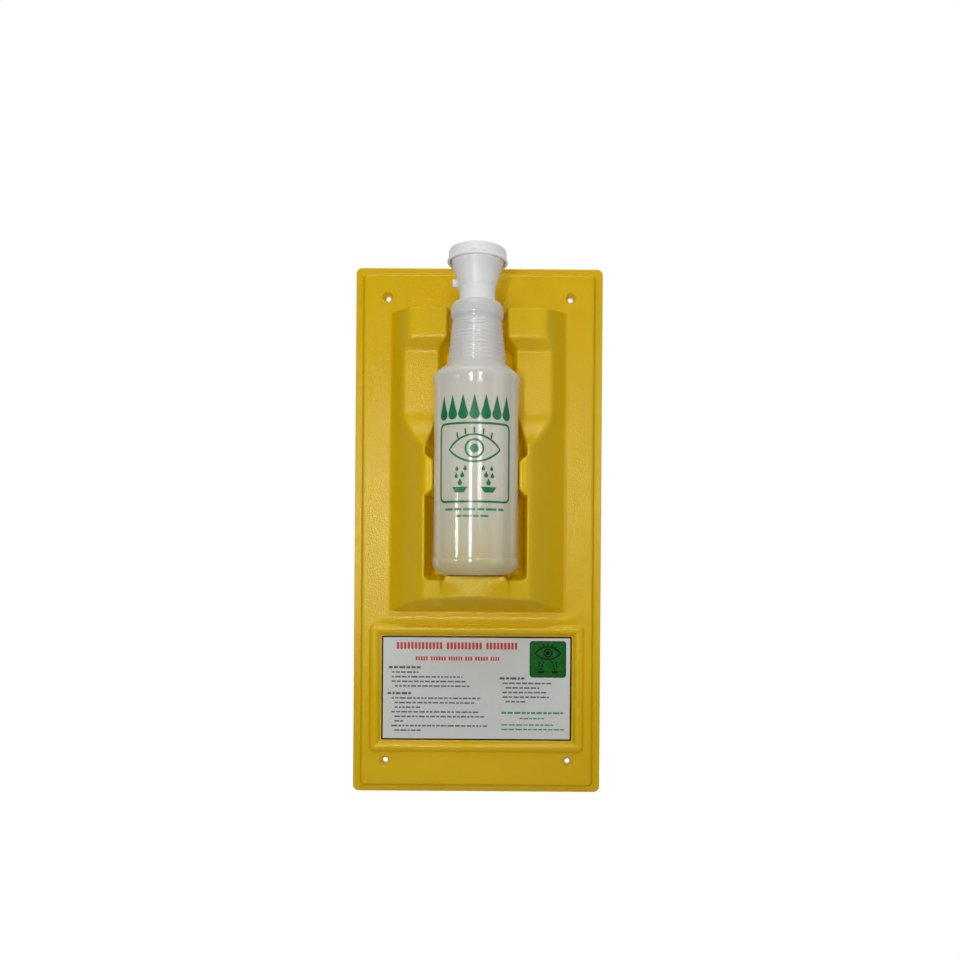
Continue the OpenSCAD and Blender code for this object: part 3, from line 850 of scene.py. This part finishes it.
def eye_shapes(cx, cz, s, stroke):
    """A plain front-on eye over two jets of drops. Returns regions of (outer, holes)."""
    regs = []
    # almond
    path = []
    n = 22
    hw, up, dn = 0.37 * s, 0.20 * s, 0.17 * s
    ez = cz + 0.15 * s
    for i in range(n + 1):
        t = -1 + 2 * i / n
        path.append((cx + hw * t, ez + up * (1 - t * t) ** 0.9 if abs(t) < 1 else ez))
    for i in range(1, n):
        t = 1 - 2 * i / n
        path.append((cx + hw * t, ez - dn * (1 - t * t) ** 0.9))
    regs.append(stroke_loop(path, stroke, closed=True))
    regs.append((disc_loop(cx, ez + 0.01 * s, 0.135 * s, 36), [disc_loop(cx, ez + 0.01 * s, 0.135 * s - stroke, 36)]))
    regs.append((disc_loop(cx, ez + 0.01 * s, 0.062 * s, 28), []))
    # lashes
    for t in (-0.62, -0.32, 0.0, 0.32, 0.62):
        bx, bz = cx + hw * t, ez + up * (1 - t * t) ** 0.9
        dx, dz = 0.30 * t, 1.0
        L = math.hypot(dx, dz)
        regs.append(stroke_loop([(bx + dx / L * 0.02 * s, bz + dz / L * 0.02 * s), (bx + dx / L * 0.10 * s, bz + dz / L * 0.10 * s)], stroke * 0.9))
    # jets of drops from two low cups
    for sg in (-1, 1):
        for k, (dx, dz, w) in enumerate(((0.20, -0.315, 0.062), (0.165, -0.215, 0.056), (0.125, -0.125, 0.050), (0.255, -0.225, 0.052), (0.245, -0.13, 0.046))):
            regs.append((drop_loop(cx + sg * dx * s, cz + dz * s + 0.02 * s, w * s, w * s * 1.55, 14), []))
        # cup
        x0 = cx + sg * 0.205 * s
        regs.append(([(x0 - 0.115 * s, cz - 0.365 * s), (x0 - 0.062 * s, cz - 0.44 * s), (x0 + 0.062 * s, cz - 0.44 * s), (x0 + 0.115 * s, cz - 0.365 * s)], []))
    return regs


def art_flat(name, regs, mat, y_front, thick=0.06):
    """Thin printed piece on a plane facing -Y; regions in (x, z) mm."""
    verts, faces = [], []
    for reg in regs:
        pts, fs = tri_fill(reg[0], reg[1])
        b = len(verts)
        n = len(pts)
        for p in pts:
            verts.append((p[0], -y_front, p[1]))
        for p in pts:
            verts.append((p[0], -(y_front - thick), p[1]))
        for f in fs:
            faces.append(tuple(b + i for i in f))
            faces.append(tuple(b + n + i for i in f[::-1]))
        cnt = {}
        for f in fs:
            for a, c in zip(f, f[1:] + f[:1]):
                cnt[(a, c)] = 1
        for (a, c) in cnt:
            if (c, a) not in cnt:
                faces.append((b + c, b + a, b + n + a, b + n + c))
    ob = make_mesh(name, verts, faces, mat, smooth=False)
    bm = bmesh.new()
    bm.from_mesh(ob.data)
    bmesh.ops.recalc_face_normals(bm, faces=bm.faces)
    bm.to_mesh(ob.data)
    bm.free()
    return ob


def art_wrap(name, regs, mat, radius, thick=0.07, step=2.4):
    """Thin printed piece wrapped round the bottle; regions in (arc, z) mm, arc 0 at the front."""
    verts, faces = [], []
    for reg in regs:
        o, hs = densify(reg[0], step), [densify(h, step) for h in reg[1]]
        pts, fs = tri_fill(o, hs)
        # cut wide triangles so the piece follows the curve
        bm = bmesh.new()
        vs = [bm.verts.new((p[0], p[1], 0)) for p in pts]
        for f in fs:
            try:
                bm.faces.new([vs[i] for i in f])
            except ValueError:
                pass
        lo, hi = min(p[0] for p in pts), max(p[0] for p in pts)
        c = math.ceil(lo / step) * step
        while c < hi:
            bmesh.ops.bisect_plane(bm, geom=list(bm.verts) + list(bm.edges) + list(bm.faces), plane_co=(c, 0, 0), plane_no=(1, 0, 0))
            c += step
        bm.verts.ensure_lookup_table()
        for i, vv in enumerate(bm.verts):
            vv.index = i
        pts = [(vv.co.x, vv.co.y) for vv in bm.verts]
        fs = [tuple(vv.index for vv in f.verts) for f in bm.faces]
        bm.free()
        b = len(verts)
        n = len(pts)
        for rr in (radius + thick, radius - 0.02):
            for p in pts:
                a = p[0] / 39.7
                verts.append((rr * math.sin(a), AX_Y - rr * math.cos(a), p[1]))
        for f in fs:
            faces.append(tuple(b + i for i in f))
            faces.append(tuple(b + n + i for i in f[::-1]))
        cnt = {}
        for f in fs:
            for a, c2 in zip(f, f[1:] + f[:1]):
                cnt[(a, c2)] = 1
        for (a, c2) in cnt:
            if (c2, a) not in cnt:
                faces.append((b + c2, b + a, b + n + a, b + n + c2))
    ob = make_mesh(name, verts, faces, mat, smooth=False)
    bm = bmesh.new()
    bm.from_mesh(ob.data)
    bmesh.ops.recalc_face_normals(bm, faces=bm.faces)
    bm.to_mesh(ob.data)
    bm.free()
    return ob


# bottle print: framed eye-wash sign of a plain kind, with a row of drops above
regs = []
sq = 73.0
zc = 57.9
o = rr_loop(0, zc, sq, sq - 0.4, 6.0, 8)
i_ = rr_loop(0, zc, sq - 3.7, sq - 4.1, 4.4, 8)
regs.append((o, [i_]))
regs += eye_shapes(0, zc + 2.0, 66.0, 1.7)
for k in range(7):
    regs.append((drop_loop(-31.8 + 10.6 * k, 108.2, 9.4, 22.5, 24), []))
art = art_wrap("bottle_print", regs, M_GREEN, 39.7)
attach(art, "bottle")

# two short rows of plain dashes under the frame
rnd = random.Random(7)


def dashes(x0, x1, z, h, gap, lo, hi, rng):
    out = []
    x = x0
    while x < x1 - lo * 0.6:
        w = min(rng.uniform(lo, hi), x1 - x)
        if w > 0.5:
            out.append((rr_loop(x + w / 2, z, w, h, min(h, w) * 0.35, 3), []))
        x += w + gap
    return out


regs = dashes(-29.0, 29.0, 15.6, 2.2, 1.6, 6, 14, rnd) + dashes(-17.0, 16.0, 9.6, 1.8, 1.4, 5, 11, rnd)
art2 = art_wrap("bottle_print_small", regs, M_GREEN_S, 39.7)
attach(art2, "bottle")

# --------------------------------------------------------------------------
# label
# --------------------------------------------------------------------------
LZ = -158.6
lb = [(rr_loop(0, LZ, 190.0, 104.0, 1.0, 4), [])]
black = art_flat("label_border", lb, M_BLACK, 8.40, 0.40)
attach(black, "panel")
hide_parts("instruction_label")
white_ = art_flat("label_field", [(rr_loop(0, LZ, 187.0, 101.0, 0.4, 3), [])], M_LABEL, 8.46, 0.05)
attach(white_, "panel")
YF = 8.52


def lx(x):
    """From the left edge of the label, mm."""
    return x - 95.0


def lz(d):
    """Down from the top edge of the label, mm."""
    return LZ + 52.0 - d


rl = random.Random(11)
red = []


def bars(a, b, d, h, w, gap):
    """One heading word as a run of short upright bars."""
    n = max(1, int(round((b - a + gap) / (w + gap))))
    p = (b - a + gap) / n
    for k in range(n):
        red.append((rr_loop(lx(a + k * p + (p - gap) / 2), lz(d), p - gap, h, 0.45, 3), []))


for (a, b) in ((15.0, 60.5), (65.0, 100.0), (104.5, 135.5)):
    bars(a, b, 9.7, 6.8, 2.5, 1.2)
for (a, b) in ((34.0, 46.0), (49.0, 64.0), (67.0, 80.5), (83.5, 90.5), (93.5, 106.0), (109.0, 117.5)):
    bars(a, b, 22.4, 4.1, 1.7, 0.9)
lr = art_flat("label_red_marks", red, M_RED, YF)
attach(lr, "panel")

grey = []


def row(x0, x1, d, h=1.45):
    grey.extend(dashes(lx(x0), lx(x1), lz(d), h, 0.95, 2.2, 6.4, rl))


row(7, 39, 31.4, 2.3)
for d, x0, x1 in ((36.3, 10, 37), (40.9, 10, 81), (45.5, 10, 84), (50.1, 13, 88)):
    row(x0, x1, d)
row(6, 31, 57.4, 2.3)
for d, x0, x1 in ((62.2, 10, 100), (66.8, 13, 95), (71.4, 13, 39), (76.0, 10, 97), (80.6, 13, 103), (85.2, 13, 23),
                  (89.8, 10, 106), (94.4, 13, 41)):
    row(x0, x1, d)
row(118, 143, 41.9, 2.3)
for d, x0, x1 in ((46.8, 121, 170), (51.4, 124, 158), (56.0, 121, 165), (60.6, 121, 169), (65.2, 124, 146)):
    row(x0, x1, d)
lg = art_flat("label_text_lines", grey, M_GREY, YF)
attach(lg, "panel")

green = dashes(lx(120), lx(182), lz(76.4), 2.0, 1.1, 3, 7, rl) + dashes(lx(138), lx(163), lz(82.0), 1.3, 0.9, 2, 5, rl) + \
    dashes(lx(120), lx(172), lz(88.4), 1.3, 0.9, 3, 7, rl) + dashes(lx(120), lx(183), lz(93.0), 1.3, 0.9, 3, 7, rl)
lgr = art_flat("label_green_lines", green, M_GREEN_T, YF)
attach(lgr, "panel")
IX, IZ = lx(166.2), lz(22.6)
ib = art_flat("label_icon_edge", [(rr_loop(IX, IZ, 36.5, 36.5, 3.0, 6), [])], M_BLACK, YF)
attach(ib, "panel")
ig = art_flat("label_icon_field", [(rr_loop(IX, IZ, 34.9, 34.9, 2.4, 6), [])], M_GREEN_L, YF + 0.05)
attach(ig, "panel")
icon = eye_shapes(IX, IZ + 0.8, 34.0, 1.35)
li = art_flat("label_icon", icon, M_BLACK, YF + 0.10)
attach(li, "panel")

# --------------------------------------------------------------------------
# closure
# --------------------------------------------------------------------------
cl = [
    (14.1, 213.7, 0.2), (16.75, 213.7, 0.5), (17.05, 214.6, 0.8), (17.05, 226.0, 3.0), (17.95, 228.35, 0.3), (17.75, 228.6, 0.15), (18.1, 228.85, 0.3), (18.5, 230.9, 0),
    (22.2, 243.4, 20.0), (24.0, 249.6, 3.0), (24.9, 252.4, 1.5), (24.9, 255.2, 0.3), (25.3, 255.8, 0.3), (25.3, 256.5, 0.3), (24.9, 257.1, 0.3), (24.8, 259.4, 0.6), (23.4, 259.4, 0.6),
    (22.6, 252.6, 3.0), (22.1, 250.0, 4.0), (20.5, 243.4, 12.0), (16.6, 231.4, 1.5), (14.4, 229.2, 1.0), (4.35, 229.2, 0.3), (4.35, 227.4, 0.2), (14.1, 227.4, 0.5)]
cup = revolve("eyecup_body", round_profile(cl, 6), M_CLOSURE, n=144, sharp=40)


def tube_x(name, x_pts, mat, z, n=40, sharp=35):
    """Turned part about an axis along X through the bottle axis: (r, distance out to the left)."""
    verts, rows = [], []
    for (r, d) in x_pts:
        row = []
        for i in range(n):
            a = 2 * PI * i / n
            row.append(len(verts))
            verts.append((-d, AX_Y + r * math.cos(a), z + r * math.sin(a)))
        rows.append(row)
    faces = []
    for j in range(len(rows)):
        a, b = rows[j], rows[(j + 1) % len(rows)]
        for i in range(n):
            k = (i + 1) % n
            faces.append((a[i], a[k], b[k], b[i]))
    ob = make_mesh(name, verts, faces, mat)
    bm = bmesh.new()
    bm.from_mesh(ob.data)
    bmesh.ops.recalc_face_normals(bm, faces=bm.faces)
    lim = math.radians(sharp)
    for e in bm.edges:
        if len(e.link_faces) == 2 and e.calc_face_angle(0.0) > lim:
            e.smooth = False
    bm.to_mesh(ob.data)
    bm.free()
    ob.data.update()
    return ob


# boss that the spout sits in, blended into the cone
boss = tube_x("eyecup_boss", [(2.62, 16.9), (4.6, 17.0), (4.2, 18.4), (3.9, 19.4), (3.8, 20.1), (3.5, 20.38), (2.62, 20.38)], M_CLOSURE, 231.6)
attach(cup, "closure")
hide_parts("eyecup_closure")
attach(boss, "closure")
sp = tube_x("drain_nipple", [(1.5, 17.2), (2.5, 17.2), (2.6, 17.5), (2.6, 20.4), (3.5, 20.42), (3.78, 20.7), (3.8, 22.8), (3.5, 23.3), (3.2, 23.5), (1.8, 23.5), (1.5, 23.2)],
            M_SPOUT, 231.6)
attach(sp, "closure")
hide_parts("drain_spout")

# --------------------------------------------------------------------------
# dust cap with a thumb recess low on its front
# --------------------------------------------------------------------------
cp = [
    (26.8, 250.4, 0.3), (28.3, 250.4, 0.6), (28.7, 251.2, 0.6), (28.6, 252.1, 0.6), (27.7, 252.9, 0.7), (27.55, 256.5, 0), (27.5, 259.2, 0), (27.4, 260.6, 1.6), (26.7, 262.1, 1.8), (25.2, 262.7, 1.2),
    (22.6, 262.6, 0.4), (22.2, 262.2, 0.3), (12.0, 262.2, 0), (0.0001, 262.2, 0), (0.0001, 261.2, 0), (26.0, 261.2, 0.4), (26.0, 255.3, 0.3), (25.5, 254.8, 0.2),
    (25.5, 254.3, 0.2), (26.0, 253.6, 0.3)]
cprof = round_profile(cp, 5)
# extra rings on the skirt for the recess
dense = []
for k in range(len(cprof)):
    a, b = cprof[k], cprof[(k + 1) % len(cprof)]
    dense.append(a)
    if a[0] > 27.3 and b[0] > 27.3 and abs(b[1] - a[1]) > 0.8:
        m = int(abs(b[1] - a[1]) / 0.35)
        for q in range(1, m):
            dense.append((a[0] + (b[0] - a[0]) * q / m, a[1] + (b[1] - a[1]) * q / m))


def thumb(x, y, z, r, a):
    if r > 27.3:
        aa = (a + PI) % (2 * PI) - PI
        u = (aa * 27.5 + 0.8) / 9.4
        v = (z - 253.3) / 1.6
        q = 1 - u * u
        if q > 0:
            w = max(0.0, 1 - (v / max(0.05, q)) ** 2)
            w = min(1.0, w * 1.25)
            k = 1 - 1.35 / 27.5 * w * w * (3 - 2 * w)
            return x * k, y * k, z
    return x, y, z


cap = revolve("snap_cap", dense, M_CAP, n=192, sharp=40, deform=thumb)
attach(cap, "cap")
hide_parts("dust_cap")

# --------------------------------------------------------------------------
# pieces kept from the CAD with their own finish
# --------------------------------------------------------------------------
for node_name, mat in (("dip_tube", M_TUBE), ("spray_nozzle", M_CLOSURE), ("closure_liner", M_FOAM), ("cap_seal", M_FOAM)):
    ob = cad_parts[node_name]
    if not ob.data.materials:
        ob.data.materials.append(mat)
    for i in range(len(ob.material_slots)):
        ob.material_slots[i].material = mat

# --------------------------------------------------------------------------
# stage, lights and camera
# --------------------------------------------------------------------------


def stage_material(name, rgb, emit=0.0):
    m, nt, bs, tc = base_mat(name)
    a = noise(nt, tc.outputs["Object"], 3.0, 3.0, 0.5)
    col = ramp(nt, a.outputs["Fac"], [(0.3, tuple(c * 0.985 for c in rgb[:3]) + (1,)), (0.7, rgb)])
    nt.links.new(col.outputs[0], bs.inputs["Base Color"])
    bs.inputs["Roughness"].default_value = 0.85
    return m


floor_me = bpy.data.meshes.new("floor")
f = 2.2
floor_me.from_pydata([(-f, -2.4, -1.2), (f, -2.4, -1.2), (f, 1.0, -1.2), (-f, 1.0, -1.2)], [], [(0, 1, 2, 3)])
floor = bpy.data.objects.new("floor", floor_me)
bpy.context.scene.collection.objects.link(floor)
floor_me.materials.append(stage_material("floor_pale", (0.80, 0.80, 0.79, 1)))

world = bpy.data.worlds.new("studio")
bpy.context.scene.world = world
world.use_nodes = True
nt = world.node_tree
for nd in list(nt.nodes):
    nt.nodes.remove(nd)
wo = nt.nodes.new("ShaderNodeOutputWorld")
bg = nt.nodes.new("ShaderNodeBackground")
tc = nt.nodes.new("ShaderNodeTexCoord")
sep = nt.nodes.new("ShaderNodeSeparateXYZ")
nt.links.new(tc.outputs["Generated"], sep.inputs[0])
mr = nt.nodes.new("ShaderNodeMapRange")
mr.interpolation_type = "SMOOTHSTEP"
mr.inputs[1].default_value, mr.inputs[2].default_value = 0.25, 0.6
mr.inputs[3].default_value, mr.inputs[4].default_value = 0.0, 1.0
nt.links.new(sep.outputs["Y"], mr.inputs[0])
W_FRONT = 0.09
cr_ = nt.nodes.new("ShaderNodeValToRGB")
cr_.color_ramp.elements[0].color = (W_FRONT * 1.12, W_FRONT * 0.97, W_FRONT * 0.80, 1)
cr_.color_ramp.elements[1].color = (1.0, 1.0, 1.0, 1)
nt.links.new(mr.outputs[0], cr_.inputs[0])
nt.links.new(cr_.outputs[0], bg.inputs[0])
bg.inputs[1].default_value = 1.0
nt.links.new(bg.outputs[0], wo.inputs[0])


def area(name, loc, target, sx, sy, power, col=(1, 1, 1)):
    L = bpy.data.lights.new(name, "AREA")
    L.shape = "RECTANGLE"
    L.size, L.size_y = sx, sy
    L.energy = power
    L.color = col
    ob = bpy.data.objects.new(name, L)
    bpy.context.scene.collection.objects.link(ob)
    ob.location = loc
    ob.rotation_mode = "QUATERNION"
    ob.rotation_quaternion = (Vector(target) - Vector(loc)).to_track_quat("-Z", "Y")
    return ob


P_KEY = 1.9
P_LEFT = 0.8
P_TOP = 5.6
P_RIGHT = 0.7
P_LOW = 0.15
P_FILL = 1.3
area("key_strip", (-0.16, -0.83, 0.05), (-0.03, 0.0, 0.02), 0.06, 0.24, P_KEY)
area("left_window", (-0.70, -0.66, 0.03), (0, -0.05, 0.0), 0.12, 0.12, P_LEFT)
area("top_soft", (0.0, -0.62, 1.12), (0, 0, 0.10), 1.3, 0.5, P_TOP)
area("right_soft", (0.17, -0.86, 0.15), (0.05, 0, 0.06), 0.14, 0.16, P_RIGHT)
area("right_fill", (0.85, -0.50, 0.12), (0, 0, 0.05), 0.6, 0.8, P_FILL)
area("low_soft", (-0.04, -0.72, -0.50), (0, 0, 0.0), 0.45, 0.08, P_LOW)

cam_d = bpy.data.cameras.new("camera")
cam = bpy.data.objects.new("camera", cam_d)
bpy.context.scene.collection.objects.link(cam)
cam_d.sensor_width = 36.0
cam_d.lens = 30.0
cam_d.clip_start, cam_d.clip_end = 0.02, 50.0
PITCH = 0.0
ROLL = -0.413
cam.location = (0.034, -0.809, -0.028)
cam.rotation_mode = "XYZ"
cam.rotation_euler = (math.radians(90 + PITCH), math.radians(ROLL), 0)
cam_d.shift_x = -31.4 / 960
cam_d.shift_y = 78.0 / 960
bpy.context.scene.camera = cam
bpy.context.scene.view_settings.view_transform = "Standard"
bpy.context.scene.view_settings.look = "None"
